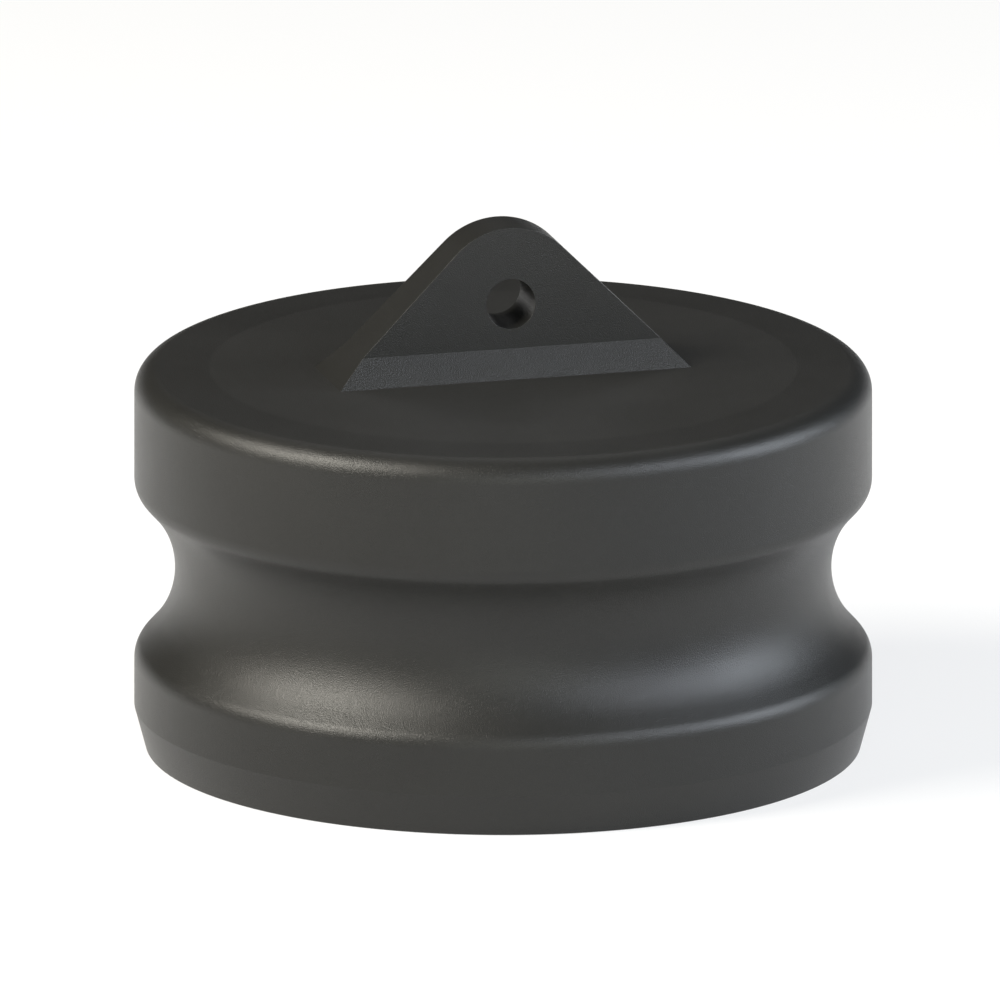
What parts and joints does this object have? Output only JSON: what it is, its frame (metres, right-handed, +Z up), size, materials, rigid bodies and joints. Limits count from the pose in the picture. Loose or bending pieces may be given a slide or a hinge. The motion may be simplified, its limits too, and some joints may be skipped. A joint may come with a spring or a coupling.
{
  "type": "coupling dust plug",
  "caption": "Moulded plug that closes a cam-and-groove hose coupler: hollow turned body with a cam groove, tapered nose and flat crown under a holed lug.",
  "frame": {"origin": "centre of the seal face at the end of the nose, which the plug stands on", "axes": "+Z up along the plug's axis, from the nose to the crown; +X along the lug; +Y along the lug's hole"},
  "size_m": [0.1194, 0.1194, 0.0873],
  "materials": {
    "polypropylene": "black moulded polypropylene, satin with a fine grain"
  },
  "bodies": {
    "root": {"plug_body": "polypropylene"}
  },
  "joints": []
}
